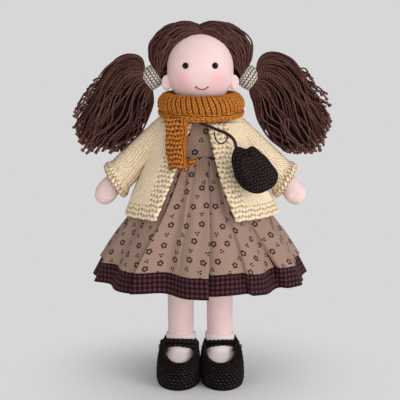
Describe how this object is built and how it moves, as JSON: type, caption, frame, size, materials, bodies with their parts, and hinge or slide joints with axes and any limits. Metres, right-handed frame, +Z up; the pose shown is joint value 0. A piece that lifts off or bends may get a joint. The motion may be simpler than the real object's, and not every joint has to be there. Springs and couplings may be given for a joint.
{
  "type": "rag doll",
  "caption": "Stuffed cloth rag doll with yarn pigtails, button eyes, knitted cardigan and scarf, layered dress, crocheted shoes and a small shoulder bag",
  "frame": {"origin": "centre of the bounding box in plan, on the floor under the soles", "axes": "+Z up, the doll faces -Y, +X is the doll's own left"},
  "size_m": [0.278, 0.2166, 0.3846],
  "materials": {
    "skin": "fine woven cotton, matt",
    "yarn_hair": "wool yarn, matt",
    "crochet_cream": "crocheted cotton, matt",
    "gloss_black": "polished black",
    "washer_white": "moulded white",
    "rose_thread": "embroidery thread",
    "taupe_cloth": "printed cotton with small dark flowers",
    "checked_cloth": "small woven checks, dark red and pale",
    "cream_knit": "knitted wool, matt",
    "mustard_knit": "knitted wool, matt",
    "dark_crochet": "crocheted cotton, matt",
    "pale_sock": "fine cotton jersey",
    "button_glass": "polished dark"
  },
  "bodies": {
    "torso": {"torso": "skin", "dress_bodice": "taupe_cloth", "dress_skirt": "taupe_cloth", "checked_flounce": "checked_cloth", "cardigan_front_left": "cream_knit", "cardigan_front_right": "cream_knit", "cardigan_back": "cream_knit", "scarf_loop": "mustard_knit", "bag_strap": "dark_crochet", "button_loop": "dark_crochet"},
    "head": {"head": "skin", "eye_left": "gloss_black", "eye_right": "gloss_black", "eye_washer_left": "washer_white", "eye_washer_right": "washer_white", "smile_stitch": "rose_thread", "ear_left": "skin", "ear_right": "skin", "hair_left": "yarn_hair", "hair_right": "yarn_hair"},
    "pigtail_left": {"hair_tie_left": "crochet_cream", "pigtail_left": "yarn_hair"},
    "pigtail_right": {"hair_tie_right": "crochet_cream", "pigtail_right": "yarn_hair"},
    "arm_left": {"arm_left": "skin", "sleeve_left": "cream_knit"},
    "arm_right": {"arm_right": "skin", "sleeve_right": "cream_knit"},
    "hip_strip": {"hip_strip": "skin"},
    "leg_left": {"leg_left": "skin", "sock_left": "pale_sock", "shoe_upper_left": "dark_crochet", "shoe_sole_left": "dark_crochet", "shoe_strap_left": "dark_crochet", "shoe_button_left": "button_glass"},
    "leg_right": {"leg_right": "skin", "sock_right": "pale_sock", "shoe_upper_right": "dark_crochet", "shoe_sole_right": "dark_crochet", "shoe_strap_right": "dark_crochet", "shoe_button_right": "button_glass"},
    "bag": {"bag_pouch": "dark_crochet"},
    "scarf_end": {"scarf_tail_front": "mustard_knit"}
  },
  "joints": [
    {"name": "neck_turn", "type": "hinge", "parent": "torso", "child": "head", "pos_m": [0, 0, 0.301], "axis": [0, 0, 1], "range_deg": [-15, 15]},
    {"name": "pigtail_lift_left", "type": "hinge", "parent": "head", "child": "pigtail_left", "pos_m": [0.0465, 0.006, 0.33], "axis": [0, -1, 0], "range_deg": [0, 22]},
    {"name": "pigtail_lift_right", "type": "hinge", "parent": "head", "child": "pigtail_right", "pos_m": [-0.0465, 0.006, 0.33], "axis": [0, 1, 0], "range_deg": [0, 22]},
    {"name": "arm_swing_left", "type": "hinge", "parent": "torso", "child": "arm_left", "pos_m": [0.0421, 0, 0.2695], "axis": [-1, 0, 0], "range_deg": [-35, 80], "deforming": ["sleeve_left", "cardigan_front_left", "cardigan_back"]},
    {"name": "arm_swing_right", "type": "hinge", "parent": "torso", "child": "arm_right", "pos_m": [-0.0421, 0, 0.2695], "axis": [-1, 0, 0], "range_deg": [-35, 80], "deforming": ["sleeve_right", "cardigan_front_right", "cardigan_back"]},
    {"name": "hip_fold", "type": "hinge", "parent": "torso", "child": "hip_strip", "pos_m": [0, 0, 0.1645], "axis": [-1, 0, 0], "range_deg": [0, 75], "deforming": ["dress_skirt", "checked_flounce"]},
    {"name": "leg_swing_left", "type": "hinge", "parent": "hip_strip", "child": "leg_left", "pos_m": [0.0213, 0, 0.153], "axis": [-1, 0, 0], "range_deg": [-25, 15]},
    {"name": "leg_swing_right", "type": "hinge", "parent": "hip_strip", "child": "leg_right", "pos_m": [-0.0213, 0, 0.153], "axis": [-1, 0, 0], "range_deg": [-25, 15]},
    {"name": "bag_swing", "type": "hinge", "parent": "torso", "child": "bag", "pos_m": [0.037, -0.0633, 0.25827], "axis": [-1, 0, 0], "range_deg": [0, 60]},
    {"name": "scarf_end_lift", "type": "hinge", "parent": "torso", "child": "scarf_end", "pos_m": [0, -0.0405, 0.2799], "axis": [-1, 0, 0], "range_deg": [0, 70]}
  ]
}
